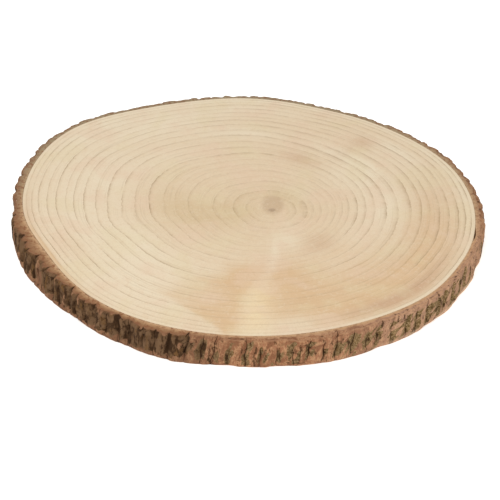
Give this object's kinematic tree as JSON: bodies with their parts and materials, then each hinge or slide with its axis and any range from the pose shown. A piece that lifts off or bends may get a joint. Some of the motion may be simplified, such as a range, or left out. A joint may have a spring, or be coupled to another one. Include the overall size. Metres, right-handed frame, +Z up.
{
  "type": "wood slice",
  "caption": "Round slice sawn across a tree trunk: a flat disc of pale wood with growth rings inside a ring of ridged bark.",
  "frame": {"origin": "middle of the underside of the whole slice's box, in the plane that it lies on", "axes": "+Z up through the thickness, -Y towards the viewer of the picture, +X to the picture's right"},
  "size_m": [0.3492, 0.3474, 0.02],
  "materials": {
    "wood": "sanded bare end grain, matt",
    "bark": "rough ridged bark, matt"
  },
  "bodies": {
    "root": {"wood": "wood", "bark": "bark"}
  },
  "joints": []
}
